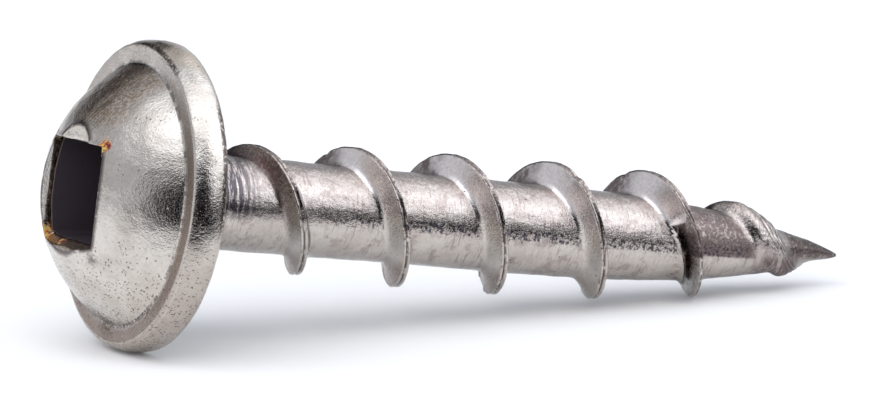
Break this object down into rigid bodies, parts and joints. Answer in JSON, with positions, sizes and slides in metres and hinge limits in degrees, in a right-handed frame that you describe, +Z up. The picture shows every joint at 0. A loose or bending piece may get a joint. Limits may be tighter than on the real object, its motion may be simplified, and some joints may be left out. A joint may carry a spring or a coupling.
{
  "type": "washer-head wood screw",
  "caption": "Washer-head self-tapping window sill screw with a square drive recess and a coarse right-hand thread, lying on its side.",
  "frame": {"origin": "middle of the bounding box at its lowest level, on the surface the screw lies on", "axes": "+X along the screw's length from its head towards its tip, +Y across it, +Z up from the surface it lies on; the shank dips towards the tip by 8.8 degrees, as the screw rests on its washer rim and one thread crest"},
  "size_m": [0.0282, 0.0098, 0.0097],
  "materials": {
    "plated_steel": "bright zinc plating, worn and pitted"
  },
  "bodies": {
    "root": {"screw": "plated_steel"}
  },
  "joints": []
}
